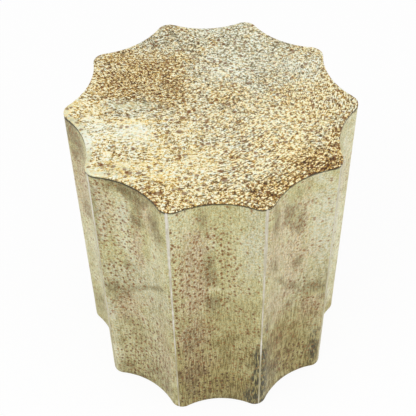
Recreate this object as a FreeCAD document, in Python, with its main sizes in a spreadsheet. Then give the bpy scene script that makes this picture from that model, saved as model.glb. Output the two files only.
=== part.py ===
import FreeCAD, Part

# Drum side table: a straight drum with concave flutes that meet in rounded ridges, clad in thin hammered
# sheet metal over a wooden carcass. The origin is on the floor under the centre, +Z is up and one ridge
# points along +X. Lengths are in millimetres.

import math
import os

import Sketcher

# Driving dimensions. Every cell of the sheet holds one of them.
SIZES = {
    # Outline of the drum, on the outer face of the metal
    "flute_count": 10,
    "table_height": 520,
    "tip_radius": 230,
    "flute_depth": 25,
    "nose_radius": 21,
    # Metal cladding
    "skin_thickness": 1,
    "glue_line": 0.2,
    "lip_depth": 3,
    "roll_radius": 2,
    "edge_seam": 1.4,
    "ridge_seam_width": 3,
    # Wooden carcass
    "board_thickness": 18,
    "rib_thickness": 12,
    "panel_thickness": 5,
    "batten_width": 36,
    "batten_depth": 44,
    "notch_clearance": 0.2,
    # Countersunk wood screws, all alike
    "screw_length": 60,
    "screw_shank_radius": 2.2,
    "screw_head_radius": 4.6,
    "screw_point_length": 5,
    "screw_inset": 24,
    "screw_clearance": 0.1,
    "rib_screw_sink": 1.5,
    # How far a cut runs past what it cuts
    "cut_overrun": 1,
    # Nailed glides under the base board
    "glide_count": 5,
    "glide_radius": 11,
    "glide_height": 4,
    "glide_edge_chamfer": 1,
    "glide_inset": 70,
    "nail_shank_radius": 1,
    "nail_head_radius": 2.8,
    "nail_head_height": 0.8,
    "nail_point_length": 2,
    "nail_length": 16,
    "nail_sink": 1.2,
    "nail_clearance": 0.1,
}

doc = FreeCAD.newDocument("drum_side_table")
sheet = doc.addObject("Spreadsheet::Sheet", "dims")
for row, (alias, number) in enumerate(SIZES.items(), start=1):
    sheet.set(f"A{row}", alias)
    sheet.set(f"B{row}", str(number))
    sheet.setAlias(f"B{row}", alias)
doc.recompute()


def value(expression):
    """The number that an expression of the sheet's sizes gives, angles in degrees."""
    result = sheet.evalExpression(expression)
    return float(getattr(result, "Value", result))


FLUTES = int(value("dims.flute_count"))
GLIDES = int(value("dims.glide_count"))

# Places shared by several sub-parts, each worked out from the driving dimensions
HALF_FLUTE = "180 deg / dims.flute_count"
NOSE_CIRCLE = "(dims.tip_radius - dims.nose_radius)"
VALLEY_RADIUS = "(dims.tip_radius - dims.flute_depth)"
CARCASS_INSET = "(dims.skin_thickness + dims.glue_line)"
PANEL_INSET = f"({CARCASS_INSET} + dims.panel_thickness)"
RIB_INSET = f"({PANEL_INSET} + dims.glue_line)"
CARCASS_TOP = f"(dims.table_height - {CARCASS_INSET})"
CARCASS_BOTTOM = "dims.glide_height"
TOP_BOARD_UNDERSIDE = f"({CARCASS_TOP} - dims.board_thickness)"
BASE_BOARD_FACE = f"({CARCASS_BOTTOM} + dims.board_thickness)"
UPRIGHT_LENGTH = f"({TOP_BOARD_UNDERSIDE} - {BASE_BOARD_FACE})"
RIB_MIDDLE = f"({BASE_BOARD_FACE} + {UPRIGHT_LENGTH} / 2)"
SIDE_TOP = "(dims.table_height - dims.lip_depth - dims.edge_seam)"
SIDE_LENGTH = f"({SIDE_TOP} - {CARCASS_BOTTOM})"
BATTEN_BACK = "(dims.tip_radius - dims.batten_depth)"
BATTEN_NOSE = f"(dims.tip_radius - {CARCASS_INSET})"
SCREW_CIRCLE = "(dims.tip_radius - dims.screw_inset)"
GLIDE_CIRCLE = "(dims.tip_radius - dims.glide_inset)"

# How a sketch names its points, and how near counts as touching
ORIGIN = (-1, 1)
START, END, CENTRE = range(1, 4)
TOUCH = 1e-6


def new_body(label, angle="0 deg"):
    """An empty body, turned about the table's axis."""
    body = doc.addObject("PartDesign::Body", label)
    body.Label = label
    body.setExpression("Placement.Rotation.Angle", angle)
    return body


def origin_plane(body, role):
    """One of the body's own origin planes."""
    return next(feature for feature in body.Origin.OriginFeatures if feature.Role == role)


class Drawing:
    """A sketch on an origin plane of its body, whose sizes are bound to the sheet."""

    def __init__(self, body, name, role="XY_Plane", height="0"):
        self.sketch = body.newObject("Sketcher::SketchObject", name)
        self.sketch.AttachmentSupport = [(origin_plane(body, role), "")]
        self.sketch.MapMode = "FlatFace"
        self.sketch.setExpression("AttachmentOffset.Base.z", height)

    def fix(self, kind, *where):
        """A rule without a size, such as Coincident."""
        self.sketch.addConstraint(Sketcher.Constraint(kind, *where))

    def size(self, kind, expression, *where):
        """A rule whose size is an expression of the sheet's sizes."""
        number = value(expression)
        index = self.sketch.addConstraint(Sketcher.Constraint(kind, *where, number))
        self.sketch.setExpression(f"Constraints[{index}]", expression)

    def place(self, geometry, point, across, up):
        """Holds a point at a place given by two expressions."""
        self.size("DistanceX", across, *ORIGIN, geometry, point)
        self.size("DistanceY", up, *ORIGIN, geometry, point)

    def line(self, start, end, construction=False):
        return self.sketch.addGeometry(Part.LineSegment(start, end), construction)

    def arc(self, centre, radius, first, last, construction=False):
        """An arc from the first to the last angle, in degrees, anticlockwise."""
        circle = Part.Circle(centre, FreeCAD.Vector(0, 0, 1), radius)
        bow = Part.ArcOfCircle(circle, math.radians(first), math.radians(last))
        return self.sketch.addGeometry(bow, construction)

    def join(self, *ends):
        """Joins points in pairs, each given as geometry and point."""
        for first, second in zip(ends[::2], ends[1::2]):
            self.fix("Coincident", *first, *second)

    def bridge(self, first, last):
        """A straight line from one end to another, joined to both."""
        line = self.line(self.sketch.getPoint(*first), self.sketch.getPoint(*last))
        self.join((line, START), first, (line, END), last)
        return line

    def outline(self, corners):
        """A closed outline of straight lines through corners given as pairs of expressions."""
        points = [FreeCAD.Vector(value(across), value(up), 0) for across, up in corners]
        lines = [self.line(points[i - 1], points[i]) for i in range(len(points))]
        for i, (across, up) in enumerate(corners):
            self.join((lines[i], END), (lines[(i + 1) % len(lines)], START))
            self.place(lines[i], END, across, up)
        return lines


def polar(radius, angle):
    """A place in the plane, as two expressions."""
    return f"{radius} * cos({angle})", f"{radius} * sin({angle})"


def point_at(radius, degrees):
    """A place in the plane, as numbers."""
    turn = math.radians(degrees)
    return FreeCAD.Vector(radius * math.cos(turn), radius * math.sin(turn), 0)


def fluted_edge(drawing, inset, nose_angle, valley_angle, tip_gap="0", solid=("nose", "flute")):
    """Half a ridge nose and half a flute, tangent to each other, this far inside the outer outline.

    The nose runs from the ridge ray, or from a gap beside it, to the flute, and the flute from there to
    the valley ray. An arc that isn't solid is for construction only. Returns the ends of both arcs.
    """
    nose_radius = f"(dims.nose_radius - {inset})"
    valley_radius = f"({VALLEY_RADIUS} - {inset})"

    # Where the solver starts: the flute's centre lies on the valley ray, as far from the nose's centre
    # as the two radii together.
    ridge, valley = value(nose_angle), value(valley_angle)
    side = 1 if valley > ridge else -1
    reach, nose = value(NOSE_CIRCLE), value(nose_radius)
    gap = nose - value(valley_radius)
    flute_centre = (reach ** 2 - gap ** 2) / (2 * (gap + reach * math.cos(math.radians(valley - ridge))))
    flute_radius = flute_centre - value(valley_radius)
    nose_point, flute_point = point_at(reach, ridge), point_at(flute_centre, valley)
    lean = math.degrees(math.atan2(flute_point.y - nose_point.y, flute_point.x - nose_point.x))
    tip = ridge + side * math.degrees(math.asin(value(tip_gap) / nose))

    nose_span = (tip, lean) if side > 0 else (lean, tip)
    flute_span = (valley + 180, lean + 180) if side > 0 else (lean + 180, valley + 180)
    nose_arc = drawing.arc(nose_point, nose, *nose_span, construction="nose" not in solid)
    flute_arc = drawing.arc(flute_point, flute_radius, *flute_span, construction="flute" not in solid)
    ridge_ray = drawing.line(FreeCAD.Vector(), nose_point, construction=True)
    valley_ray = drawing.line(FreeCAD.Vector(), flute_point, construction=True)
    nose_ends = (START, END) if side > 0 else (END, START)
    tip_end, nose_joint = [(nose_arc, end) for end in nose_ends]
    valley_end, flute_joint = [(flute_arc, end) for end in nose_ends]

    drawing.place(nose_arc, CENTRE, *polar(NOSE_CIRCLE, nose_angle))
    drawing.size("Radius", nose_radius, nose_arc)
    drawing.place(*valley_end, *polar(valley_radius, valley_angle))
    drawing.join((ridge_ray, START), ORIGIN, (ridge_ray, END), (nose_arc, CENTRE))
    drawing.join((valley_ray, START), ORIGIN, (valley_ray, END), (flute_arc, CENTRE))
    drawing.fix("PointOnObject", *valley_end, valley_ray)
    drawing.fix("Tangent", *nose_joint, *flute_joint)
    if value(tip_gap):
        drawing.size("Distance", tip_gap, *tip_end, ridge_ray)
    else:
        drawing.fix("PointOnObject", *tip_end, ridge_ray)
    return {"tip": tip_end, "nose_joint": nose_joint, "flute_joint": flute_joint, "valley": valley_end,
            "flute_centre": (flute_arc, CENTRE)}


def pad(body, name, drawing, length):
    """Raises a sketch upwards."""
    feature = body.newObject("PartDesign::Pad", name)
    feature.Profile = drawing.sketch
    feature.setExpression("Length", length)
    return feature


def pocket(body, name, drawing, depth):
    """Cuts a sketch upwards into the body."""
    feature = body.newObject("PartDesign::Pocket", name)
    feature.Profile = drawing.sketch
    feature.Reversed = True
    feature.setExpression("Length", depth)
    return feature


def turned(body, name, drawing, kind="PartDesign::Revolution"):
    """A full turn of a sketch about its own construction line."""
    feature = body.newObject(kind, name)
    feature.Profile = drawing.sketch
    feature.ReferenceAxis = (drawing.sketch, ["Axis0"])
    feature.Angle = 360
    return feature


def mirrored(body, name, features):
    """The other half of the features, across the body's XZ plane."""
    feature = body.newObject("PartDesign::Mirrored", name)
    feature.Originals = features
    feature.MirrorPlane = (origin_plane(body, "XZ_Plane"), [""])
    body.Tip = feature
    return feature


def ring_of(body, name, features, count):
    """Copies of the features, evenly spaced about the table's axis."""
    feature = body.newObject("PartDesign::PolarPattern", name)
    feature.Originals = features
    feature.Axis = (origin_plane(body, "Z_Axis"), [""])
    feature.Angle = 360
    feature.setExpression("Occurrences", count)
    body.Tip = feature
    return feature


def screw_corners(clearance="0", mouth=None):
    """Half the outline of a countersunk screw, as pairs of how far along and how far out.

    With a mouth it is the hole for the screw, which goes on that far past the head.
    """
    head = f"(dims.screw_head_radius + {clearance})"
    shank = f"(dims.screw_shank_radius + {clearance})"
    cone = "(dims.screw_head_radius - dims.screw_shank_radius)"
    if mouth is None:
        first = [("0", "0"), ("0", head)]
        last = [("(dims.screw_length - dims.screw_point_length)", shank), ("dims.screw_length", "0")]
    else:
        first = [(f"(-{mouth})", "0"), (f"(-{mouth})", head), ("0", head)]
        end = f"(dims.screw_length + {clearance})"
        last = [(end, shank), (end, "0")]
    return first + [(cone, shank)] + last


def nail_corners(clearance="0"):
    """Half the outline of a glide's nail, or of the hole for it."""
    head = f"(dims.nail_head_radius + {clearance})"
    shank = f"(dims.nail_shank_radius + {clearance})"
    return [
        ("0", "0"),
        ("0", head),
        ("dims.nail_head_height", head),
        ("dims.nail_head_height", shank),
        ("(dims.nail_length - dims.nail_point_length)", shank),
        (f"(dims.nail_length + {clearance})", "0"),
    ]


def downwards(corners, across, up):
    """Corners placed for a fastener that points down from a place in the XZ plane."""
    return [(f"{across} + {out}", f"{up} - {along}") for along, out in corners]


def upwards(corners, across, up):
    """The same for one that points up."""
    return [(f"{across} + {out}", f"{up} + {along}") for along, out in corners]


def inwards(corners, across, up):
    """The same for one that points at the table's axis."""
    return [(f"{across} - {along}", f"{up} + {out}") for along, out in corners]


def turned_outline(body, name, corners, kind="PartDesign::Revolution"):
    """A full turn of an outline in the XZ plane about the line from its first to its last corner."""
    drawing = Drawing(body, f"{name}_outline", role="XZ_Plane")
    lines = drawing.outline(corners)
    ends = [FreeCAD.Vector(value(corners[i][0]), value(corners[i][1]), 0) for i in (0, -1)]
    axis = drawing.line(*ends, construction=True)
    drawing.join((axis, START), (lines[0], END), (axis, END), (lines[-1], END))
    return turned(body, name, drawing, kind)


# Where each kind of fastener goes, as a function that places its outline
def top_screw_at(corners):
    return downwards(corners, SCREW_CIRCLE, CARCASS_TOP)


def base_screw_at(corners):
    return upwards(corners, SCREW_CIRCLE, CARCASS_BOTTOM)


def rib_screw_at(corners):
    return inwards(corners, f"({BATTEN_NOSE} - dims.rib_screw_sink)", RIB_MIDDLE)


def nail_at(corners):
    return upwards(corners, GLIDE_CIRCLE, "dims.nail_sink")


SCREW_ROOM = "dims.screw_clearance"
FLUSH_MOUTH = "dims.cut_overrun"
SUNK_MOUTH = "(dims.rib_screw_sink + dims.cut_overrun)"


def fluted_board(label, inset, bottom, thickness):
    """A flat board with the drum's scalloped outline, this far inside the outer face of the metal."""
    body = new_body(label)
    drawing = Drawing(body, "sector", height=bottom)
    for valley_angle in (HALF_FLUTE, f"-{HALF_FLUTE}"):
        edge = fluted_edge(drawing, inset, "0 deg", valley_angle)
        drawing.bridge(ORIGIN, edge["valley"])
    sector = pad(body, "sector_pad", drawing, thickness)
    ring_of(body, "sectors", [sector], "dims.flute_count")
    return body


def bore(body, name, corners, count=None):
    """A hole turned from its outline, and its copies about the table's axis."""
    hole = turned_outline(body, name, corners, "PartDesign::Groove")
    if count:
        ring_of(body, f"{name}s", [hole], count)


# Wooden carcass
def top_board():
    body = fluted_board("top_board", CARCASS_INSET, TOP_BOARD_UNDERSIDE, "dims.board_thickness")
    bore(body, "screw_hole", top_screw_at(screw_corners(SCREW_ROOM, FLUSH_MOUTH)), "dims.flute_count")


def base_board():
    body = fluted_board("base_board", CARCASS_INSET, CARCASS_BOTTOM, "dims.board_thickness")
    bore(body, "screw_hole", base_screw_at(screw_corners(SCREW_ROOM, FLUSH_MOUTH)), "dims.flute_count")
    bore(body, "nail_hole", nail_at(nail_corners("dims.nail_clearance")), "dims.glide_count")


def mid_rib():
    """The board at half height, notched round the battens and screwed to them."""
    bottom = f"({RIB_MIDDLE} - dims.rib_thickness / 2)"
    body = fluted_board("mid_rib", RIB_INSET, bottom, "dims.rib_thickness")
    inner = f"({BATTEN_BACK} - dims.notch_clearance)"
    outer = "(dims.tip_radius + dims.cut_overrun)"
    side = "(dims.batten_width / 2 + dims.notch_clearance)"
    drawing = Drawing(body, "notch_outline", height=bottom)
    drawing.outline([(inner, f"(-{side})"), (outer, f"(-{side})"), (outer, side), (inner, side)])
    notch = pocket(body, "notch", drawing, "dims.rib_thickness")
    ring_of(body, "notches", [notch], "dims.flute_count")
    bore(body, "screw_hole", rib_screw_at(screw_corners(SCREW_ROOM, SUNK_MOUTH)), "dims.flute_count")


def ridge_batten(label, angle):
    """An upright batten: rounded nose, a rebate for a panel on each side, and a flat back."""
    body = new_body(label, angle)
    drawing = Drawing(body, "half_section", height=BASE_BOARD_FACE)
    nose = fluted_edge(drawing, CARCASS_INSET, "0 deg", HALF_FLUTE, solid=("nose",))
    seat_line = fluted_edge(drawing, RIB_INSET, "0 deg", HALF_FLUTE, solid=())
    seat_centre, seat_start, side, back = [
        drawing.sketch.getPoint(*seat_line["flute_centre"]),
        drawing.sketch.getPoint(*seat_line["flute_joint"]),
        value("dims.batten_width") / 2,
        value(BATTEN_BACK),
    ]
    radius = seat_centre.distanceToPoint(seat_start)
    last = math.degrees(math.atan2(seat_start.y - seat_centre.y, seat_start.x - seat_centre.x))
    first = -180 + math.degrees(math.asin((seat_centre.y - side) / radius))
    seat = drawing.arc(seat_centre, radius, first, last)
    corner = drawing.sketch.getPoint(seat, START)
    flank = drawing.line(corner, FreeCAD.Vector(back, side, 0))
    rear = drawing.line(FreeCAD.Vector(back, side, 0), FreeCAD.Vector(back, 0, 0))
    drawing.bridge(nose["nose_joint"], seat_line["flute_joint"])
    drawing.join((seat, CENTRE), seat_line["flute_centre"], (seat, END), seat_line["flute_joint"])
    drawing.join((seat, START), (flank, START), (flank, END), (rear, START))
    drawing.size("DistanceY", "dims.batten_width / 2", *ORIGIN, seat, START)
    drawing.fix("Horizontal", flank)
    drawing.fix("Vertical", rear)
    drawing.place(rear, END, BATTEN_BACK, "0")
    drawing.bridge((rear, END), nose["tip"])
    mirrored(body, "both_halves", [pad(body, "half_pad", drawing, UPRIGHT_LENGTH)])
    bore(body, "top_screw_hole", top_screw_at(screw_corners(SCREW_ROOM, FLUSH_MOUTH)))
    bore(body, "base_screw_hole", base_screw_at(screw_corners(SCREW_ROOM, FLUSH_MOUTH)))
    bore(body, "rib_screw_hole", rib_screw_at(screw_corners(SCREW_ROOM, SUNK_MOUTH)))


def flute_strip(label, angle, heights, insets, tip_gap="0", solid=("nose", "flute")):
    """A curved upright sheet that follows one flute between two insets, the same on both sides."""
    bottom, length = heights
    body = new_body(label, angle)
    drawing = Drawing(body, "half_section", height=bottom)
    outer, inner = [
        fluted_edge(drawing, inset, HALF_FLUTE, "0 deg", tip_gap, solid) for inset in insets
    ]
    end = "tip" if "nose" in solid else "flute_joint"
    drawing.bridge(outer[end], inner[end])
    drawing.bridge(outer["valley"], inner["valley"])
    mirrored(body, "both_halves", [pad(body, "half_pad", drawing, length)])


def flute_panel(label, angle):
    """Bent plywood behind one flute, from the rebate of one batten to that of the next."""
    heights = (BASE_BOARD_FACE, UPRIGHT_LENGTH)
    flute_strip(label, angle, heights, (CARCASS_INSET, PANEL_INSET), solid=("flute",))


# Metal cladding
def flute_sheet(label, angle):
    """The metal over one flute and half of each ridge beside it, up to the ridge seams."""
    heights = (CARCASS_BOTTOM, SIDE_LENGTH)
    flute_strip(label, angle, heights, ("0", "dims.skin_thickness"), tip_gap="dims.ridge_seam_width / 2")


def ridge_seam(label, angle):
    """The solder between two side sheets, filed flush with the ridge."""
    body = new_body(label, angle)
    drawing = Drawing(body, "section", height=CARCASS_BOTTOM)
    half_width = "(dims.ridge_seam_width / 2)"
    faces = []
    for radius in ("dims.nose_radius", "(dims.nose_radius - dims.skin_thickness)"):
        spread = math.degrees(math.asin(value(half_width) / value(radius)))
        face = drawing.arc(point_at(value(NOSE_CIRCLE), 0), value(radius), -spread, spread)
        drawing.place(face, CENTRE, NOSE_CIRCLE, "0")
        drawing.size("Radius", radius, face)
        drawing.size("DistanceY", f"(-{half_width})", *ORIGIN, face, START)
        drawing.size("DistanceY", half_width, *ORIGIN, face, END)
        faces.append(face)
    for end in (START, END):
        drawing.bridge((faces[0], end), (faces[1], end))
    pad(body, "seam_pad", drawing, SIDE_LENGTH)


def top_sheet():
    """The metal over the top, rolled at its edge into a short lip and open underneath."""
    body = fluted_board("top_sheet", "0", "(dims.table_height - dims.lip_depth)", "dims.lip_depth")
    doc.recompute()
    block = body.Tip
    height = value("dims.table_height")
    rims = [
        f"Edge{number}" for number, edge in enumerate(block.Shape.Edges, start=1)
        if abs(edge.BoundBox.ZMin - height) < TOUCH
    ]
    roll = body.newObject("PartDesign::Fillet", "rolled_edge")
    roll.Base = (block, rims)
    roll.setExpression("Radius", "dims.roll_radius")
    doc.recompute()
    underside = min(range(len(roll.Shape.Faces)), key=lambda i: roll.Shape.Faces[i].CenterOfMass.z)
    shell = body.newObject("PartDesign::Thickness", "sheet_metal")
    shell.Base = (roll, [f"Face{underside + 1}"])
    shell.Reversed = True
    shell.setExpression("Value", "dims.skin_thickness")
    body.Tip = shell


# Fasteners and feet
def screw_ring(label, place):
    """Ten like screws, one at each ridge."""
    body = new_body(label)
    screw = turned_outline(body, "screw", place(screw_corners()))
    ring_of(body, "screws", [screw], "dims.flute_count")


def glide(label, angle):
    """A round nylon glide with a stepped hole for its nail."""
    body = new_body(label, angle)
    hole = "(dims.nail_shank_radius + dims.nail_clearance)"
    recess = "(dims.nail_head_radius + dims.nail_clearance)"
    shoulder = "(dims.nail_sink + dims.nail_head_height)"
    rim = "(dims.glide_radius - dims.glide_edge_chamfer)"
    section = [
        ("0", recess), ("0", rim), ("dims.glide_edge_chamfer", "dims.glide_radius"),
        ("dims.glide_height", "dims.glide_radius"), ("dims.glide_height", hole),
        (shoulder, hole), (shoulder, recess),
    ]
    drawing = Drawing(body, "section", role="XZ_Plane")
    drawing.outline(upwards(section, GLIDE_CIRCLE, "0"))
    axis = drawing.line(
        FreeCAD.Vector(value(GLIDE_CIRCLE), 0, 0),
        FreeCAD.Vector(value(GLIDE_CIRCLE), value("dims.glide_height"), 0),
        construction=True,
    )
    drawing.place(axis, START, GLIDE_CIRCLE, "0")
    drawing.place(axis, END, GLIDE_CIRCLE, "dims.glide_height")
    turned(body, "turned_glide", drawing)


def glide_nails():
    body = new_body("glide_nails")
    nail = turned_outline(body, "nail", nail_at(nail_corners()))
    ring_of(body, "nails", [nail], "dims.glide_count")


top_board()
base_board()
mid_rib()
for i in range(FLUTES):
    ridge_batten(f"ridge_batten_{i + 1:02}", f"{i} * 360 deg / dims.flute_count")
    flute_panel(f"flute_panel_{i + 1:02}", f"({i} + 1 / 2) * 360 deg / dims.flute_count")
    flute_sheet(f"flute_sheet_{i + 1:02}", f"({i} + 1 / 2) * 360 deg / dims.flute_count")
    ridge_seam(f"ridge_seam_{i + 1:02}", f"{i} * 360 deg / dims.flute_count")
top_sheet()
screw_ring("top_screws", top_screw_at)
screw_ring("base_screws", base_screw_at)
screw_ring("rib_screws", rib_screw_at)
for i in range(GLIDES):
    glide(f"glide_{i + 1:02}", f"{i} * 360 deg / dims.glide_count")
glide_nails()
doc.recompute()


def check(feature):
    """Stops if a feature failed, has no sound shape, or cuts nothing."""
    if {"Invalid", "Error"} & set(feature.State):
        raise RuntimeError(f"{feature.Name} failed: {feature.State}")
    if feature.TypeId == "Sketcher::SketchObject":
        if not feature.FullyConstrained:
            raise RuntimeError(f"{feature.Name} isn't fully constrained")
        return
    if feature.Shape.isNull() or not feature.Shape.isValid():
        raise RuntimeError(f"{feature.Name} has no sound shape")
    if feature.TypeId in ("PartDesign::Pocket", "PartDesign::Groove"):
        if feature.Shape.Volume >= feature.BaseFeature.Shape.Volume:
            raise RuntimeError(f"{feature.Name} cuts nothing")


bodies = doc.findObjects("PartDesign::Body")
for body in bodies:
    for member in body.Group:
        check(member)
    check(body)

os.makedirs("parts", exist_ok=True)
for body in bodies:
    body.Shape.exportStep(f"parts/{body.Label}.step")
    print(f"{body.Label}: {len(body.Shape.Solids)} solids, {body.Shape.Volume:.0f} cubic mm")
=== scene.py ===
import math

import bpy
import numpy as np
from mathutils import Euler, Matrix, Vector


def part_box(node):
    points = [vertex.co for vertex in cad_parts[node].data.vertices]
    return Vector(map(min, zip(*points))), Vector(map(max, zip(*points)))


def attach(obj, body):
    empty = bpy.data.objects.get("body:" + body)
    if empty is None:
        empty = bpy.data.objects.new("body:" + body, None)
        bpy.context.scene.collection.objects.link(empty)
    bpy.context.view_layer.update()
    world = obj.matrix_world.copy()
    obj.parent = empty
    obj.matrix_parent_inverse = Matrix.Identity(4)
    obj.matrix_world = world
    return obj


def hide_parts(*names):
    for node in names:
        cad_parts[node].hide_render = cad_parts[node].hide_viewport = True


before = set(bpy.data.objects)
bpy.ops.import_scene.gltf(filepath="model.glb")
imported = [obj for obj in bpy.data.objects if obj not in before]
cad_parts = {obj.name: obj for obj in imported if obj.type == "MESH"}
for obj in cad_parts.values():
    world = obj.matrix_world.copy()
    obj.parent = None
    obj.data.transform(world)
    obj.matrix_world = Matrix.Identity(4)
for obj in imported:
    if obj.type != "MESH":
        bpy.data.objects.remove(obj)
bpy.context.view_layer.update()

# Drum side table with a fluted body and a scalloped top, clad in thin hammered metal with an antiqued
# champagne finish. The origin is on the floor under the centre, +Z is up and one ridge points along +X.
# Lengths are in metres and angles in radians. The table's colours are written as a screen shows them.

MM = 0.001
TOP_SEED, FLUTE_SEEDS, SEAM_SEEDS = 11, 100, 200

# The drum's outline and the sheet metal
top_low, top_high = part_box("top_sheet")
side_low, side_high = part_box("flute_sheet_01")
LIP_BOTTOM, TABLE_TOP = top_low.z, top_high.z
SIDE_BOTTOM, SIDE_TOP = side_low.z, side_high.z
TIP_RADIUS = top_high.x
RIDGES = 10
HALF_FLUTE = math.pi / RIDGES
FLUTE_DEPTH, NOSE_RADIUS = 25 * MM, 21 * MM
SHEET, ROLL_RADIUS, SEAM_WIDTH = 1 * MM, 2 * MM, 3 * MM

# The circles of a ridge's nose and of a flute, on a plan whose first axis points from the drum's axis
# through the flute's valley, and the angles of the joint between them
NOSE_CENTRE = TIP_RADIUS - NOSE_RADIUS
VALLEY_RADIUS = TIP_RADIUS - FLUTE_DEPTH
NOSE_PAST_VALLEY = NOSE_RADIUS - VALLEY_RADIUS
FLUTE_CENTRE = (NOSE_CENTRE ** 2 - NOSE_PAST_VALLEY ** 2) / (
    2 * (NOSE_PAST_VALLEY + NOSE_CENTRE * math.cos(HALF_FLUTE))
)
FLUTE_RADIUS = FLUTE_CENTRE - VALLEY_RADIUS
NOSE_PLACE = NOSE_CENTRE * np.array([math.cos(HALF_FLUTE), math.sin(HALF_FLUTE)])
NOSE_TO_FLUTE = np.array([FLUTE_CENTRE, 0]) - NOSE_PLACE
JOINT_LEAN = math.atan2(NOSE_TO_FLUTE[1], NOSE_TO_FLUTE[0])
FLUTE_SPREAD = math.pi - math.atan2(-NOSE_TO_FLUTE[1], -NOSE_TO_FLUTE[0])


def light(red, green, blue):
    """A colour as seen on a screen, each part from 0 to 255, as the light that a shader works in."""
    parts = np.array([red, green, blue]) / 255
    linear = np.where(parts <= 0.04045, parts / 12.92, ((parts + 0.055) / 1.055) ** 2.4)
    return (*linear, 1)


# Fields of numbers on a surface
def smooth_noise(across, up, size, random):
    """Smooth noise from 0 to 1 with bumps of about this size."""
    column, row = across / size, up / size
    column, row = column - column.min(), row - row.min()
    i, j = column.astype(int), row.astype(int)
    lattice = random.random((i.max() + 2, j.max() + 2))
    u, v = column - i, row - j
    u, v = u * u * (3 - 2 * u), v * v * (3 - 2 * v)
    near = lattice[i, j] * (1 - u) + lattice[i + 1, j] * u
    far = lattice[i, j + 1] * (1 - u) + lattice[i + 1, j + 1] * u
    return near * (1 - v) + far * v


def rough_noise(across, up, size, random, octaves=3):
    """Noise from 0 to 1 with finer bumps on the larger ones."""
    layers = [smooth_noise(across, up, size / 2 ** n, random) for n in range(octaves)]
    weights = [0.5 ** n for n in range(octaves)]
    return sum(layer * weight for layer, weight in zip(layers, weights)) / sum(weights)


def sway(across, up, size_and_swing, random, octaves=3):
    """Rough noise about zero, given the size of its bumps and the most between its ends."""
    size, swing = size_and_swing
    return swing * (rough_noise(across, up, size, random, octaves) - 0.5)


def loose_rows(across, up, column_size, row_size, looseness, random, tall=1.0):
    """Distance to the nearest mark of a field of loose staggered rows, and that mark's own number.
    Looseness is how far the marks stray across and up, and tall how much taller than wide they are."""
    column, row = across / column_size, up / row_size
    column, row = column - column.min() + 1, row - row.min() + 1
    shape = int(column.max()) + 3, int(row.max()) + 4
    shift = [(random.random(shape) - 0.5) * loose for loose in looseness]
    own = random.random(shape)
    nearest = np.full(column.shape, np.inf)
    number = np.zeros(column.shape)
    for step in (-1, 0, 1):
        i = column.astype(int) + step
        stagger = (i % 2) / 2
        for climb in (-1, 0, 1):
            j = (row + stagger).astype(int) + climb
            du = (i + 0.5 + shift[0][i, j] - column) * column_size
            dv = (j + 0.5 + shift[1][i, j] - stagger - row) * row_size / tall
            distance = np.hypot(du, dv)
            closer = distance < nearest
            nearest = np.where(closer, distance, nearest)
            number = np.where(closer, own[i, j], number)
    return nearest, number


def fade(value, low, high):
    """0 below low, 1 above high, and smooth between them. Turned round where low is the larger."""
    share = np.clip((value - low) / (high - low), 0, 1)
    return share * share * (3 - 2 * share)


# Objects and meshes
SHARP_ANGLE = math.radians(35)


def put(name, data):
    """A new object in the scene."""
    thing = bpy.data.objects.new(name, data)
    bpy.context.scene.collection.objects.link(thing)
    return thing


def add_piece(name, points, faces, material, node, fields):
    """A mesh piece that stands for a node of the frame and rides with the table."""
    mesh = bpy.data.meshes.new(name)
    mesh.from_pydata(points, [], faces)
    mesh.validate()
    mesh.polygons.foreach_set("use_smooth", [True] * len(mesh.polygons))
    mesh.set_sharp_from_angle(angle=SHARP_ANGLE)
    for field, numbers in fields.items():
        kind = "FLOAT" if numbers.ndim == 1 else "FLOAT_VECTOR"
        layer = mesh.attributes.new(field, kind, "POINT")
        layer.data.foreach_set("value" if kind == "FLOAT" else "vector", numbers.astype(np.float32).ravel())
    mesh.materials.append(material)
    piece = put(name, mesh)
    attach(piece, "root")
    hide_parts(node)


def turn(points, angle):
    """Points turned about the drum's axis."""
    cos, sin = math.cos(angle), math.sin(angle)
    x, y = points[..., 0], points[..., 1]
    return np.stack([x * cos - y * sin, x * sin + y * cos, points[..., 2]], -1)


def front_grid(step, columns):
    """The front of an upright sheet as rows of points from the bottom up: how many rows there are, the
    points' heights, the faces between them, and the points up its left and right edge."""
    rows = math.ceil((SIDE_TOP - SIDE_BOTTOM) / step) + 1
    count = rows * columns
    faces = [
        (corner, corner + 1, corner + columns + 1, corner + columns)
        for row in range(rows - 1)
        for corner in range(row * columns, (row + 1) * columns - 1)
    ]
    up = np.repeat(np.linspace(SIDE_BOTTOM, SIDE_TOP, rows), columns)
    return rows, up, faces, range(0, count, columns), range(columns - 1, count, columns)


def section(step, stop):
    """One flute's section from ridge to ridge: points, outward normals and lengths from the valley.
    Step is the most from point to point, and stop the length left out at each ridge's tip."""
    flute_length = FLUTE_RADIUS * FLUTE_SPREAD
    nose_length = NOSE_RADIUS * (HALF_FLUTE - JOINT_LEAN) - stop
    steps = math.ceil((flute_length + nose_length) / step)
    half = np.linspace(0, flute_length + nose_length, steps + 1)
    lengths = np.concatenate([-half[:0:-1], half])
    from_valley = np.abs(lengths)
    swing = np.minimum(from_valley, flute_length) / FLUTE_RADIUS
    lean = JOINT_LEAN + (from_valley - flute_length) / NOSE_RADIUS
    flute_normals = np.stack([np.cos(swing), -np.sin(swing)], -1)
    nose_normals = np.stack([np.cos(lean), np.sin(lean)], -1)
    flute_points = np.array([FLUTE_CENTRE, 0]) - FLUTE_RADIUS * flute_normals
    nose_points = NOSE_PLACE + NOSE_RADIUS * nose_normals
    on_flute = (from_valley <= flute_length)[:, None]
    mirror = np.stack([np.ones(len(lengths)), np.where(lengths < 0, -1, 1)], -1)
    points = np.where(on_flute, flute_points, nose_points) * mirror
    normals = np.where(on_flute, flute_normals, nose_normals) * mirror
    return points, normals, lengths


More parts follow.
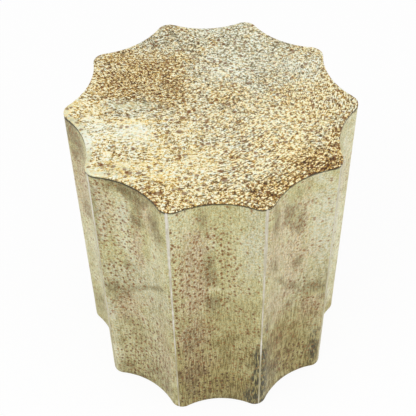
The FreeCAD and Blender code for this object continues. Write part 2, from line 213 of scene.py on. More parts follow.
def outline(angles, inset=0.0):
    """The drum's radius at these angles from a ridge, this far inside the outer face."""
    from_ridge = np.abs((angles + HALF_FLUTE) % (2 * HALF_FLUTE) - HALF_FLUTE)
    nose = NOSE_RADIUS - inset
    across = NOSE_CENTRE * np.sin(from_ridge)
    on_nose = NOSE_CENTRE * np.cos(from_ridge) + np.sqrt(np.maximum(nose ** 2 - across ** 2, 0))
    from_valley = HALF_FLUTE - from_ridge
    flute = FLUTE_RADIUS + inset
    off_centre = FLUTE_CENTRE * np.sin(from_valley)
    on_flute = FLUTE_CENTRE * np.cos(from_valley) - np.sqrt(np.maximum(flute ** 2 - off_centre ** 2, 0))
    joint = NOSE_PLACE + nose * np.array([math.cos(JOINT_LEAN), math.sin(JOINT_LEAN)])
    joint_angle = HALF_FLUTE - math.atan2(joint[1], joint[0])
    return np.where(from_ridge < joint_angle, on_nose, on_flute)


# Materials
class Nodes:
    """The nodes of a material or of the world, added by short calls."""

    def __init__(self, owner):
        owner.use_nodes = True
        self.tree = owner.node_tree

    def feed(self, node, inputs):
        """Gives a node its inputs, each a number, a colour or an output to link."""
        for name, given in inputs.items():
            if isinstance(given, bpy.types.NodeSocket):
                self.tree.links.new(given, node.inputs[name])
            else:
                node.inputs[name].default_value = given

    def add(self, kind, inputs=None, **settings):
        """A new node, with its inputs and its settings."""
        node = self.tree.nodes.new(kind)
        for name, setting in settings.items():
            setattr(node, name, setting)
        self.feed(node, inputs or {})
        return node

    def maths(self, operation, *numbers):
        return self.add("ShaderNodeMath", dict(enumerate(numbers)), operation=operation).outputs[0]

    def product(self, first, second):
        return self.maths("MULTIPLY", first, second)

    def spread(self, number, low, high, start=0.0, end=1.0, way="SMOOTHSTEP"):
        """A number's way from low to high, from start to end, and no further."""
        inputs = {"Value": number, "From Min": low, "From Max": high, "To Min": start, "To Max": end}
        return self.add("ShaderNodeMapRange", inputs, interpolation_type=way).outputs["Result"]

    def seen(self):
        """1 where something is seen, by itself or in a mirror or glass, and 0 where it only lights."""
        path = self.add("ShaderNodeLightPath").outputs
        mirrored = self.maths("MAXIMUM", path["Is Glossy Ray"], path["Is Transmission Ray"])
        return self.maths("MAXIMUM", path["Is Camera Ray"], mirrored)


class Surface(Nodes):
    """A principled material, whose colour is built up from layers."""

    def __init__(self, name, metallic=0.0, specular=0.5):
        self.material = bpy.data.materials.new(name)
        super().__init__(self.material)
        self.colour = None
        self.shader = self.tree.nodes["Principled BSDF"]
        self.feed(self.shader, {"Metallic": metallic, "Specular IOR Level": specular})

    def place(self):
        """The place on the object, in metres."""
        return self.add("ShaderNodeTexCoord").outputs["Object"]

    def field(self, name, output="Fac"):
        """A field that the mesh carries."""
        return self.add("ShaderNodeAttribute", attribute_name=name).outputs[output]

    def drawn_out(self, place, shares):
        """A place on which marks come out longer along an axis whose share is under 1."""
        return self.add("ShaderNodeMapping", {"Vector": place, "Scale": shares}).outputs["Vector"]

    def noise(self, place, size, detail=2.0, roughness=0.5, twist=0.0):
        """Noise from 0 to 1 with bumps of about this size."""
        inputs = {
            "Vector": place, "Scale": 1 / size, "Detail": detail, "Roughness": roughness, "Distortion": twist,
        }
        return self.add("ShaderNodeTexNoise", inputs).outputs["Fac"]

    def cells(self, place, size):
        """Distance to the middle of the nearest of loose cells of this size, and its own number."""
        cells = self.add("ShaderNodeTexVoronoi", {"Vector": place, "Scale": 1 / size}).outputs
        own = self.add("ShaderNodeSeparateColor", {"Color": cells["Color"]}).outputs["Red"]
        return cells["Distance"], own

    def specks(self, place, size, likely, ragged, reach=0.42):
        """Spots in loose cells of this size, 1 inside a spot. Likely says how many cells hold one, and
        ragged is noise that breaks up their edges."""
        distance, own = self.cells(place, size)
        edge = self.sum((ragged, 0.4), distance, (own, 0.15))
        spot = self.spread(edge, 0.28 + reach, 0.28 + 0.5 * reach)
        held = self.spread(self.sum(likely, (own, -1.0)), -0.08, 0.12)
        return self.product(spot, held)

    def sum(self, *parts):
        """The sum of plain numbers, outputs, and pairs of an output and its weight."""
        total = sum(part for part in parts if isinstance(part, float))
        for part in parts:
            if not isinstance(part, float):
                number, weight = part if isinstance(part, tuple) else (part, 1.0)
                total = self.maths("MULTIPLY_ADD", number, weight, total)
        return total

    def ramp(self, number, stops, tones):
        """A colour that goes through these tones, as a screen shows them, at these stops of a number."""
        node = self.add("ShaderNodeValToRGB", {"Fac": number})
        elements = node.color_ramp.elements
        while len(elements) < len(stops):
            elements.new(0.5)
        for element, stop, tone in zip(elements, stops, tones):
            element.position = stop
            element.color = light(*tone)
        return node.outputs["Color"]

    def mix(self, share, first, second, blend="MIX"):
        inputs = {0: share, 6: first, 7: second}
        return self.add("ShaderNodeMix", inputs, data_type="RGBA", blend_type=blend).outputs[2]

    def cover(self, share, colour, blend="MIX"):
        """Lays this share of a colour over the surface's own."""
        self.colour = self.mix(share, self.colour, colour, blend)

    def finish(self, roughness, height, relief):
        """The material in its colour and this roughness, with bumps as high as the relief."""
        bump = self.add("ShaderNodeBump", {"Height": height, "Distance": relief})
        inputs = {"Base Color": self.colour, "Roughness": roughness, "Normal": bump.outputs["Normal"]}
        self.feed(self.shader, inputs)
        return self.material


# Tones of the top's antiqued metal from the bottom of a dent to a polished crest. The palest tones are partly
# polish and partly painted highlights, standing in for the lamps' glints on the hammered metal
TOP_STOPS = (0.0, 0.21, 0.39, 0.55, 0.71, 0.93)
WARM_TONES = (
    (70, 40, 10), (108, 69, 20), (158, 113, 40), (214, 175, 86), (243, 221, 143), (253, 250, 216),
)
COOL_TONES = (
    (74, 62, 38), (104, 90, 58), (146, 132, 92), (189, 184, 142), (225, 225, 193), (249, 252, 240),
)
TOP_WARM_TINGE, TOP_COOL_TINGE = light(254, 229, 203), light(241, 251, 252)
STAIN_BROWN, PIT_BROWN = light(122, 76, 30), light(100, 64, 26)

# Sizes of the top metal's marks, how they and its strokes are drawn out, and its relief
TOP_STAIN, TOP_TINT, TOP_CLOUD = 7 * MM, 6 * MM, 4.6 * MM
TOP_PIT, TOP_BEAD, TOP_TINGE = 4.4 * MM, 3.8 * MM, 3.4 * MM
TOP_FLECK, TOP_STROKE, TOP_GRIT = 2.4 * MM, 2.3 * MM, 1.3 * MM
TOP_MARK_SHARES, STROKE_SHARES = (0.8, 1, 1), (0.2, 1, 1)
TOP_RELIEF = 0.12 * MM


def hammered_top_metal():
    """Cream and gold metal with brown patina left in its dents, and bright crests that are partly polish and
    partly painted highlights.
    """
    metal = Surface("hammered_top_metal", metallic=0.2, specular=0.4)
    place = metal.drawn_out(metal.place(), TOP_MARK_SHARES)
    tone, calm, swept = metal.field("tone"), metal.field("calm"), metal.field("swept")
    clouds = metal.noise(place, TOP_CLOUD, detail=1.0)
    flecks = metal.noise(place, TOP_FLECK, roughness=0.55, twist=0.3)
    grit = metal.noise(place, TOP_GRIT, detail=1.0)
    # The middles of the dents' cells come out paler: painted highlights in place of the lamps' glints in the
    # dents
    glint_beads, own = metal.cells(place, TOP_BEAD)
    sweep = metal.drawn_out(metal.field("sweep", "Vector"), STROKE_SHARES)
    strokes = metal.sum(metal.noise(sweep, TOP_STROKE, detail=1.5), -0.5)
    pattern = metal.sum(
        (clouds, 0.7), (flecks, 2.3), (grit, 2.0), (metal.field("height"), 0.25),
        (glint_beads, -0.7), (own, 0.3), -2.4,
    )
    pattern = metal.product(pattern, metal.sum((swept, -0.2), 1.06))
    pattern = metal.sum(pattern, (metal.product(strokes, swept), 2.9))
    gain = metal.spread(calm, 0.0, 1.0, 1.22, 0.15, way="LINEAR")
    gain = metal.sum(gain, (tone, -0.3))
    shade = metal.sum((metal.product(pattern, gain), 0.81), (tone, 0.6), 0.635)

    tint = metal.noise(place, TOP_TINT)
    hue = metal.sum((tint, 2.0), (own, 0.55), metal.field("warm"), -0.31)
    warm = metal.spread(hue, 0.9, 1.8, way="LINEAR")
    cool_tone, warm_tone = (metal.ramp(shade, TOP_STOPS, tones) for tones in (COOL_TONES, WARM_TONES))
    metal.colour = metal.mix(warm, cool_tone, warm_tone)
    tinge = metal.noise(place, TOP_TINGE)
    metal.cover(metal.spread(tinge, 0.52, 0.66, 0.0, 0.8), TOP_WARM_TINGE, "MULTIPLY")
    metal.cover(metal.spread(tinge, 0.48, 0.36, 0.0, 0.8), TOP_COOL_TINGE, "MULTIPLY")

    likely = metal.sum((tone, -0.35), (tint, 0.5), (calm, 0.3), 0.03)
    stain = metal.specks(place, TOP_STAIN, likely, flecks)
    metal.cover(metal.sum((stain, 0.75), (metal.field("spots"), 0.8)), STAIN_BROWN)
    likely = metal.sum((clouds, -0.6), 0.52)
    pits = metal.specks(place, TOP_PIT, likely, grit, reach=0.38)
    metal.cover(metal.product(pits, 0.6), PIT_BROWN)
    return metal.finish(metal.spread(shade, 0.3, 0.8, 0.5, 0.34), grit, TOP_RELIEF)


# Tones of the side metal in its dark marks, between and on its bright ones: plain, then in clouds that
# are laid over each other in this order
SIDE_TONES = {
    "plain": ((146, 133, 82), (195, 189, 137), (223, 219, 171)),
    "pale": ((176, 166, 124), (215, 211, 172), (236, 234, 204)),
    "grey": ((158, 152, 124), (204, 201, 173), (228, 226, 205)),
    "pink": ((146, 123, 86), (202, 187, 150), (230, 218, 184)),
    "gold": ((116, 98, 42), (166, 151, 86), (200, 188, 128)),
    "dark": ((106, 98, 58), (150, 142, 98), (183, 177, 134)),
}
EVEN_STOPS = (0.0, 0.5, 1.0)
SIDE_WARM_TINGE, SIDE_COOL_TINGE = light(251, 236, 210), light(244, 251, 255)
DASH_BROWN, SPECK_BROWN = light(122, 92, 56), light(142, 94, 42)
MARK_BROWN, LOW_MARK_BROWN = light(120, 77, 24), light(84, 54, 16)
SLATE, LOW_TINGE = light(84, 82, 60), light(206, 196, 166)
# The dark colour at the seam under the top is a painted shadow cast by the top's lip
RUBBED, SEAM_SHADOW = light(214, 209, 192), light(46, 42, 32)

# Sizes of the side metal's marks, and its relief
WIDE_STREAK, SIDE_BLOTCH, SIDE_SPECK = 9 * MM, 6 * MM, 5 * MM
SIDE_TINGE, SIDE_MOTTLE, SIDE_STREAK = 3.2 * MM, 2.6 * MM, 2.1 * MM
SIDE_DASH, SIDE_SCRATCH, SIDE_GRAIN = 1.9 * MM, 1.5 * MM, 1.2 * MM
SPECK_SHARES = (1, 0.7, 1)
SIDE_RELIEF = 0.08 * MM

# A brown peen mark: where its edge begins and ends, how ragged mottle and fine clouds make that edge,
# and how far the mark grows with its strength
MARK_OUTSIDE, MARK_INSIDE = 2.75 * MM, 1.35 * MM
MARK_RAGGED, MARK_FINE, MARK_GROWTH = 1.8 * MM, 0.5 * MM, 1.1 * MM


def hammered_side_metal():
    """Khaki metal, finely mottled, with clouds of other tones, dashes, streaks and brown peen marks."""
    metal = Surface("hammered_side_metal", metallic=0.15, specular=0.35)
    place = metal.field("place", "Vector")

    def upright(share, size, detail=2.0, roughness=0.5):
        """Noise that is drawn out upwards by a share under 1."""
        return metal.noise(metal.drawn_out(place, (1, share, 1)), size, detail, roughness)

    mottle = metal.noise(place, SIDE_MOTTLE, roughness=0.6)
    grain = metal.noise(place, SIDE_GRAIN, detail=1.0)
    streaks = upright(0.09, SIDE_STREAK)
    wide_streaks = upright(0.15, WIDE_STREAK, detail=3.0)
    blotch = upright(0.4, SIDE_BLOTCH, detail=4.0, roughness=0.7)
    patchy = metal.spread(metal.sum((blotch, 0.6), (mottle, 0.4)), 0.36, 0.62, 0.3, 1.1)

    def cloud(name):
        """A field of clouds, made patchy."""
        return metal.product(metal.field(name), patchy)

    low, dark, pink, pale = metal.field("low"), cloud("dark"), cloud("pink"), cloud("pale")
    fine = metal.sum((mottle, 1.15), (grain, 1.7), (streaks, 0.75), (wide_streaks, 0.25), -1.92)
    fine = metal.product(fine, metal.sum((low, 0.55), 1.45))
    low_streaks = metal.product(streaks, low)
    # Low down the shade drops, partly patina and partly painted shade towards the floor
    shade = metal.sum(fine, (low_streaks, 3.1), (low, -1.6), (dark, -0.2), (pale, 0.22), 0.55)
    shares = {
        "pale": pale, "grey": cloud("grey"), "pink": pink, "gold": cloud("gold"),
        "dark": metal.product(dark, 0.8),
    }
    metal.colour = metal.ramp(shade, EVEN_STOPS, SIDE_TONES["plain"])
    for kind, share in shares.items():
        metal.cover(share, metal.ramp(shade, EVEN_STOPS, SIDE_TONES[kind]))

    stroked = metal.sum((pink, 0.7), (dark, 0.8))
    dashes = upright(0.4, SIDE_DASH, detail=1.0)
    dashed = metal.spread(metal.sum(dashes, (stroked, 0.08)), 0.55, 0.68)
    metal.cover(metal.product(dashed, metal.spread(stroked, 0.0, 1.0, 0.1, 0.55)), DASH_BROWN)
    tinge = upright(0.6, SIDE_TINGE)
    metal.cover(metal.spread(tinge, 0.5, 0.66), SIDE_WARM_TINGE, "MULTIPLY")
    metal.cover(metal.spread(tinge, 0.5, 0.36), SIDE_COOL_TINGE, "MULTIPLY")
    scratches = metal.spread(upright(0.08, SIDE_SCRATCH, detail=1.0), 0.44, 0.55, 0.05, 1.1)
    metal.cover(metal.product(cloud("slate"), scratches), SLATE)
    # Darker low down: partly patina and partly painted shade towards the floor
    metal.cover(low, LOW_TINGE, "MULTIPLY")

    strength, crowded, dot = metal.field("strength"), metal.field("fine"), metal.field("dot")
    edge = metal.sum((mottle, MARK_RAGGED), dot, (strength, -MARK_GROWTH), (crowded, MARK_FINE))
    mark = metal.product(metal.spread(edge, MARK_OUTSIDE, MARK_INSIDE), strength)
    metal.cover(metal.product(mark, 0.9), metal.mix(low, MARK_BROWN, LOW_MARK_BROWN))
    likely = metal.sum((crowded, 0.8), (strength, 0.2), (blotch, 0.5), -0.1)
    speck = metal.specks(metal.drawn_out(place, SPECK_SHARES), SIDE_SPECK, likely, grain)
    metal.cover(metal.product(speck, 0.75), SPECK_BROWN)
    rubbed = metal.sum((streaks, 0.6), (mottle, 0.5), metal.field("rubbed"))
    metal.cover(metal.spread(rubbed, 0.85, 1.35), RUBBED)
    # Painted shadow under the top's lip, along the seam at the top of the sheet
    metal.cover(metal.field("seam"), SEAM_SHADOW)
    return metal.finish(metal.spread(shade, 0, 1, 0.58, 0.42), mottle, SIDE_RELIEF)


SOLDER_TONES = (192, 184, 162), (218, 212, 196), (234, 230, 218)
WORN_SOLDER = light(172, 162, 126)
FILE_MARK, SOLDER_STAIN, SOLDER_RELIEF = 1.2 * MM, 8 * MM, 0.05 * MM
FILED_SHARES, STAINED_SHARES = (1, 1, 0.15), (1, 1, 0.5)


def filed_solder():
    """Pale dull metal with faint file marks, worn into the patina beside it."""
    solder = Surface("filed_solder", metallic=0.25)
    place = solder.place()
    marks = solder.noise(solder.drawn_out(place, FILED_SHARES), FILE_MARK)
    stains = solder.noise(solder.drawn_out(place, STAINED_SHARES), SOLDER_STAIN, detail=3.0)
    shade = solder.spread(solder.sum((marks, 0.4), (stains, 0.6)), 0.3, 0.7)
    solder.colour = solder.ramp(shade, EVEN_STOPS, SOLDER_TONES)
    worn = solder.sum((stains, 0.8), solder.field("worn"))
    solder.cover(solder.spread(worn, 0.55, 1.1), WORN_SOLDER)
    return solder.finish(solder.spread(stains, 0.3, 0.7, 0.5, 0.38), marks, SOLDER_RELIEF)


NEAR_STOPS = (0.3, 0.7)
ALONG_X, UPRIGHT = (0.1, 1, 1), (1, 1, 0.06)
PAINT_TONES = (28, 26, 24), (52, 48, 44)
BRUSH_MARK, DUST, PAINT_RELIEF = 2 * MM, 30 * MM, 0.1 * MM


def painted_board():
    """Black paint on fibreboard, with faint brush marks and dust."""
    paint = Surface("painted_board")
    place = paint.place()
    brushed = paint.noise(paint.drawn_out(place, ALONG_X), BRUSH_MARK)
    dust = paint.noise(place, DUST, detail=4.0)
    paint.colour = paint.ramp(paint.sum((brushed, 0.4), (dust, 0.6)), NEAR_STOPS, PAINT_TONES)
    return paint.finish(paint.spread(dust, 0.3, 0.7, 0.55, 0.75), brushed, PAINT_RELIEF)


WOOD_STOPS = (0.35, 0.65)
WOOD_RELIEF = 0.1 * MM


def grained(name, shares, ring_size, tones):
    """Wood whose grain is drawn out along one axis."""
    wood = Surface(name)
    place = wood.drawn_out(wood.place(), shares)
    rings = wood.noise(place, ring_size, detail=4.0, roughness=0.6)
    fibres = wood.noise(place, ring_size / 8)
    wood.colour = wood.ramp(wood.sum((rings, 0.7), (fibres, 0.3)), WOOD_STOPS, tones)
    return wood.finish(wood.spread(fibres, 0.3, 0.7, 0.55, 0.75), fibres, WOOD_RELIEF)


STEEL_TONES = (150, 150, 148), (200, 200, 196)
STEEL_SCRATCH, STEEL_RELIEF = 0.8 * MM, 0.02 * MM
STEEL_SHARES = (1, 1, 0.2)


def brushed_steel():
    steel = Surface("brushed_steel", metallic=1.0)
    scratches = steel.noise(steel.drawn_out(steel.place(), STEEL_SHARES), STEEL_SCRATCH)
    steel.colour = steel.ramp(scratches, NEAR_STOPS, STEEL_TONES)
    return steel.finish(steel.spread(scratches, 0.3, 0.7, 0.25, 0.4), scratches, STEEL_RELIEF)


NYLON_TONES = (196, 190, 176), (224, 220, 208)
NYLON_GRAIN, NYLON_WEAR, NYLON_RELIEF = 0.6 * MM, 5 * MM, 0.04 * MM


def moulded_nylon():
    nylon = Surface("moulded_nylon")
    grain = nylon.noise(nylon.place(), NYLON_GRAIN)
    wear = nylon.noise(nylon.place(), NYLON_WEAR, detail=3.0)
    nylon.colour = nylon.ramp(wear, NEAR_STOPS, NYLON_TONES)
    return nylon.finish(nylon.spread(wear, 0.3, 0.7, 0.4, 0.6), grain, NYLON_RELIEF)


# The mesh of the top's sheet: its rings of points, how many more each has than the one inside it, and
# the steps of its roll
TOP_RINGS, SECTORS, ROLL_STEPS = 174, 6, 4

# The top's dents: spacing, radius and depth, the shallowest one's share of the depth, how far they stray as
# shares of the spacing, and the size of the fine bumps on them
PEBBLE = 4.6 * MM
PEBBLE_RADIUS = 0.62 * PEBBLE
PEBBLE_DEPTH, SHALLOWEST_SHARE = 0.45 * MM, 0.6
PEBBLE_STRAY_SHARES = (0.95, 0.95)
FINE_BUMP = 2.6 * MM

# The top's unevenness, by size and swing: fine and broad tone, warmth, and the patches' edges
FINE_TONE, BROAD_TONE = (16 * MM, 0.36), (45 * MM, 0.16)
WARMTH, PATCH_EDGE = (20 * MM, 0.5), (24 * MM, 0.9)

# Large patches of the top, where the polish and the patina differ, and where painted reflections of the
# lamps lie, such as the pale patch at the left front and the dark one at the rear left: how far across and
# away from the middle in millimetres, half sizes across and away, how much lighter and warmer than the rest,
# and for a smooth one how much calmer
TOP_PATCHES = [
    (-105, 85, 78, 74, -0.33, 0.5), (-165, 60, 46, 34, -0.17, 1), (-160, 140, 48, 48, -0.2, 0.2),
    (-70, 34, 52, 46, -0.28, 0.2), (-120, 0, 42, 42, -0.08, -0.35), (-130, -55, 72, 62, 0.33, -0.1, 0.25),
    (-190, -60, 55, 55, 0.24, -0.15), (-60, -110, 90, 90, 0.1, 0.1, 0.38),
    (-140, -150, 66, 60, 0.15, -0.05, 0.55), (70, 130, 120, 120, -0.02, -0.55),
    (-70, 175, 62, 50, -0.18, -0.5), (20, 195, 70, 34, 0.02, -0.5), (30, 90, 36, 36, 0.2, -0.1),
    (95, 70, 30, 30, -0.16, 0), (25, 30, 34, 34, -0.12, 0.2), (-20, -40, 60, 50, 0.12, 0),
    (10, -120, 50, 44, 0.16, 0), (95, -40, 60, 60, 0.12, 0.1), (165, 15, 75, 75, 0.04, 0.22),
    (150, -50, 45, 45, -0.02, 0.15), (208, -60, 28, 28, -0.34, -0.1), (152, -150, 58, 40, -0.46, 0.7),
    (150, -118, 66, 36, -0.18, 0.4), (190, -112, 46, 46, -0.18, 0.5), (100, -100, 50, 36, 0.12, 0.5),
    (78, -188, 52, 42, -0.48, 0.5), (0, -215, 50, 50, -0.12, 0.2), (-80, -185, 42, 42, -0.1, 0.25),
    (-45, -150, 40, 34, 0.14, 0), (208, 70, 30, 30, 0.3, 0), (135, 115, 28, 28, 0.12, 0.1),
    (122, 165, 34, 34, -0.14, 0), (160, 90, 40, 40, 0.08, -0.3), (-130, 8, 66, 15, 0.12, -0.6, 0.8),
    (-122, -28, 56, 9, 0.08, 0.8, 0.2), (-122, -54, 66, 26, 0.05, -0.12, 0.2),
    (-200, 4, 42, 28, 0.2, 0.3, 0.3), (0, 165, 90, 22, -0.1, 0), (-60, 120, 60, 40, -0.1, 0),
]
PATCH_FADE_SHARES = (1.1, 0.2)

# Brown spots on the top: how far across and away from the middle, and half size, in millimetres
TOP_SPOTS = [
    (-125, -141, 6), (-110, -141, 5), (-167, -121, 5), (-155, -124, 3), (-44, -24, 5), (-50, -56, 6),
    (13, -161, 6), (-45, -185, 5), (-79, -183, 6), (7, -144, 4), (109, -87, 4), (-84, -65, 4), (-120, -90, 4),
    (-36, -12, 5),
]
SPOT_OUTER_SHARE, SPOT_INNER_SHARE = 1.1, 0.5
SPOT_WIDER, SPOT_EDGE = 1.2, 3 * MM

# The polishing strokes run in spirals round a place behind the top's middle and lean in. They show in
# front of that place in broad patches, not close to it, and more faintly far from it.
SWEEP_CENTRE = (20 * MM, 160 * MM)
SWEEP_REACH, SWEEP_CORE, SWEEP_PATCH = 320 * MM, 20 * MM, 60 * MM
SWEEP_LEAN = math.radians(26)
SWEEP_TURN_FADE = (2.2, 1.5)
SWEEP_NEAR_FADE, SWEEP_FAR_FADE = (40 * MM, 100 * MM), (240 * MM, 360 * MM)
SWEEP_FAINTER = 0.32

# The rim is smooth and a little paler and cooler on the left, round this place, a painted highlight on its
# rounded edge, and its rolled edge is darkened elsewhere by painted shade
RIM_FADE = (12 * MM, 7 * MM)
SMOOTH_PLACE = (-215 * MM, -70 * MM)
SMOOTH_FADE = (105 * MM, 80 * MM)
ROLLED_FADE = (1.2 * MM, 0.2 * MM)


def stroke_fields(x, y):
    """Places along and across the polishing strokes, and how plainly the strokes show at places."""
    round_x, round_y = x - SWEEP_CENTRE[0], y - SWEEP_CENTRE[1]
    swing, reach = np.arctan2(round_x, -round_y), np.hypot(round_x, round_y)
    outward = np.log(np.maximum(reach, SWEEP_CORE) / SWEEP_REACH)
    cos, sin = math.cos(SWEEP_LEAN), math.sin(SWEEP_LEAN)
    along, aside = swing * cos - outward * sin, outward * cos + swing * sin
    sweep = SWEEP_REACH * np.stack([along, aside, np.zeros(x.shape)], -1)
    swept = fade(np.abs(swing), *SWEEP_TURN_FADE) * fade(reach, *SWEEP_NEAR_FADE)
    return sweep, swept * (1 - SWEEP_FAINTER * fade(reach, *SWEEP_FAR_FADE))


def top_fields(points, random):
    """What the top's metal shows at its points: how high they lie in their dents, the patina's tone,
    warmth and calm, its strokes and its brown spots. With them comes each dent's own number."""
    x, y = points[:, 0], points[:, 1]
    distance, own = loose_rows(x, y, PEBBLE, PEBBLE, PEBBLE_STRAY_SHARES, random)
    dish = np.clip(distance / PEBBLE_RADIUS, 0, 1) ** 2
    height = np.clip(0.7 * dish + 0.3 * smooth_noise(x, y, FINE_BUMP, random), 0, 1)
    uneven = sway(x, y, FINE_TONE, random)
    tone = sway(x, y, BROAD_TONE, random)
    warm = 0.5 + sway(x, y, WARMTH, random)
    calm = np.zeros(x.shape)
    edge = sway(x, y, PATCH_EDGE, random)
    # Patches of patina and polish, and painted reflections of the lamps, lighten or darken the tone
    for across, away, half_across, half_away, lighter, warmer, *calmer in TOP_PATCHES:
        reach = np.hypot((x / MM - across) / half_across, (y / MM - away) / half_away) + edge
        share = fade(reach, *PATCH_FADE_SHARES)
        tone, warm, calm = tone + lighter * share, warm + warmer * share, calm + sum(calmer) * share

    ragged = smooth_noise(x, y, SPOT_EDGE, random) - 0.5
    spots = np.zeros(x.shape)
    for across, away, half in TOP_SPOTS:
        off = np.hypot(x / MM - across, (y / MM - away) * SPOT_WIDER) + SPOT_EDGE / MM * ragged
        spots = np.maximum(spots, fade(off, SPOT_OUTER_SHARE * half, SPOT_INNER_SHARE * half))
    sweep, swept = stroke_fields(x, y)
    swept = swept * fade(rough_noise(x, y, SWEEP_PATCH, random), 0.2, 0.6)

    # Near the rim: a smooth, paler, cooler band on the left is a painted highlight on the rounded edge, and
    # painted shade darkens the rolled edge elsewhere
    from_edge = outline(np.arctan2(y, x)) - np.hypot(x, y)
    from_smooth = np.hypot(x - SMOOTH_PLACE[0], y - SMOOTH_PLACE[1])
    smooth_highlit_rim = fade(from_edge, *RIM_FADE) * fade(from_smooth, *SMOOTH_FADE)
    rolled = fade(from_edge, *ROLLED_FADE) * (1 - 0.8 * smooth_highlit_rim)
    calm = np.clip(calm + smooth_highlit_rim, 0, 1)
    fields = {
        "height": height,
        "tone": tone + uneven * (1 - 0.8 * calm) + 0.04 * smooth_highlit_rim - 0.25 * rolled,
        "warm": np.clip(warm - 0.45 * smooth_highlit_rim, 0, 1),
        "calm": calm, "sweep": sweep, "swept": swept, "spots": spots,
    }
    return fields, own


def top_flat():
    """The rings of places on the flat, from a round one in the middle to the drum's outline."""
    rings = [np.zeros((1, 2))]
    for ring in range(1, TOP_RINGS + 1):
        share = ring / TOP_RINGS
        angles = np.arange(SECTORS * ring) * 2 * math.pi / (SECTORS * ring)
        edge = outline(angles, ROLL_RADIUS)
        radius = share * (VALLEY_RADIUS + (edge - VALLEY_RADIUS) * share ** 2)
        rings.append(np.stack([radius * np.cos(angles), radius * np.sin(angles)], -1))
    return np.concatenate(rings)


def edge_profile():
    """The rings beyond the flat: inset, height, and how far the normal there points out and up. The
    roll is dented, and the lip and the back of the sheet are plain, with no normal."""
    profile = []
    for step in range(1, ROLL_STEPS + 1):
        swing = step / ROLL_STEPS * math.pi / 2
        out, up = math.sin(swing), math.cos(swing)
        profile.append((ROLL_RADIUS - ROLL_RADIUS * out, TABLE_TOP - ROLL_RADIUS + ROLL_RADIUS * up, out, up))
    profile += [(0, LIP_BOTTOM, 0, 0), (SHEET, LIP_BOTTOM, 0, 0)]
    profile += [(SHEET, TABLE_TOP - ROLL_RADIUS, 0, 0), (ROLL_RADIUS, TABLE_TOP - SHEET, 0, 0)]
    return profile


def top_faces(further_rings):
    """The faces of the flat, of the rings beyond it and of the fan that closes the sheet below."""
    faces = [(0, 1 + sector, 1 + (sector + 1) % SECTORS) for sector in range(SECTORS)]
    start = 1
    for ring in range(1, TOP_RINGS):
        inner, outer = SECTORS * ring, SECTORS * (ring + 1)
        after = start + inner
        for sector in range(SECTORS):
            for step in range(ring + 1):
                a = start + (sector * ring + step) % inner
                b = after + sector * (ring + 1) + step
                c = after + (sector * (ring + 1) + step + 1) % outer
                faces.append((a, b, c))
                if step < ring:
                    faces.append((a, c, start + (sector * ring + step + 1) % inner))
        start = after
    count = SECTORS * TOP_RINGS
    for _ in range(further_rings):
        for step in range(count):
            other = (step + 1) % count
            faces.append((start + step, start + count + step, start + count + other, start + other))
        start += count
    hub = start + count
    return faces + [(start + step, hub, start + (step + 1) % count) for step in range(count)]


def top_sheet(metal):
    """The hammered sheet over the top: rings of dents, a rolled edge and a short lip, closed below."""
    flat, profile = top_flat(), edge_profile()
    count = SECTORS * TOP_RINGS
    angles = np.arange(count) * 2 * math.pi / count
    cos, sin = np.cos(angles), np.sin(angles)
    points = [np.column_stack([flat, np.full(len(flat), TABLE_TOP)])]
    normals = [np.tile([0.0, 0.0, 1.0], (len(flat), 1))]
    for inset, z, out, up in profile:
        radius = outline(angles, inset)
        points.append(np.column_stack([radius * cos, radius * sin, np.full(count, z)]))
        normals.append(np.column_stack([out * cos, out * sin, np.full(count, up)]))
    points.append(np.array([[0, 0, TABLE_TOP - SHEET]]))
    normals.append(np.zeros((1, 3)))
    points, normals = np.concatenate(points), np.concatenate(normals)

    fields, own = top_fields(points, np.random.default_rng(TOP_SEED))
    depth = (1 - fields["height"]) * PEBBLE_DEPTH * (SHALLOWEST_SHARE + (1 - SHALLOWEST_SHARE) * own)
    points = points - normals * depth[:, None]
    add_piece("hammered_top", points, top_faces(len(profile)), metal, "top_sheet", fields)


# The flutes' sheets: their mesh's step, and the spacing of their peen marks across and up, how far these
# stray as shares of it, how much taller than wide they are, and the reach and depth of dents and waves
SIDE_STEP = 1.3 * MM
PEEN_COLUMNS, PEEN_ROWS = 10.5 * MM, 13.5 * MM
PEEN_STRAY_SHARES, PEEN_TALL = (0.45, 0.7), 1.35
PEEN_REACH, PEEN_DEPTH = 3.25 * MM, 0.3 * MM
WAVE, WAVE_DEPTH = 24 * MM, 0.35 * MM

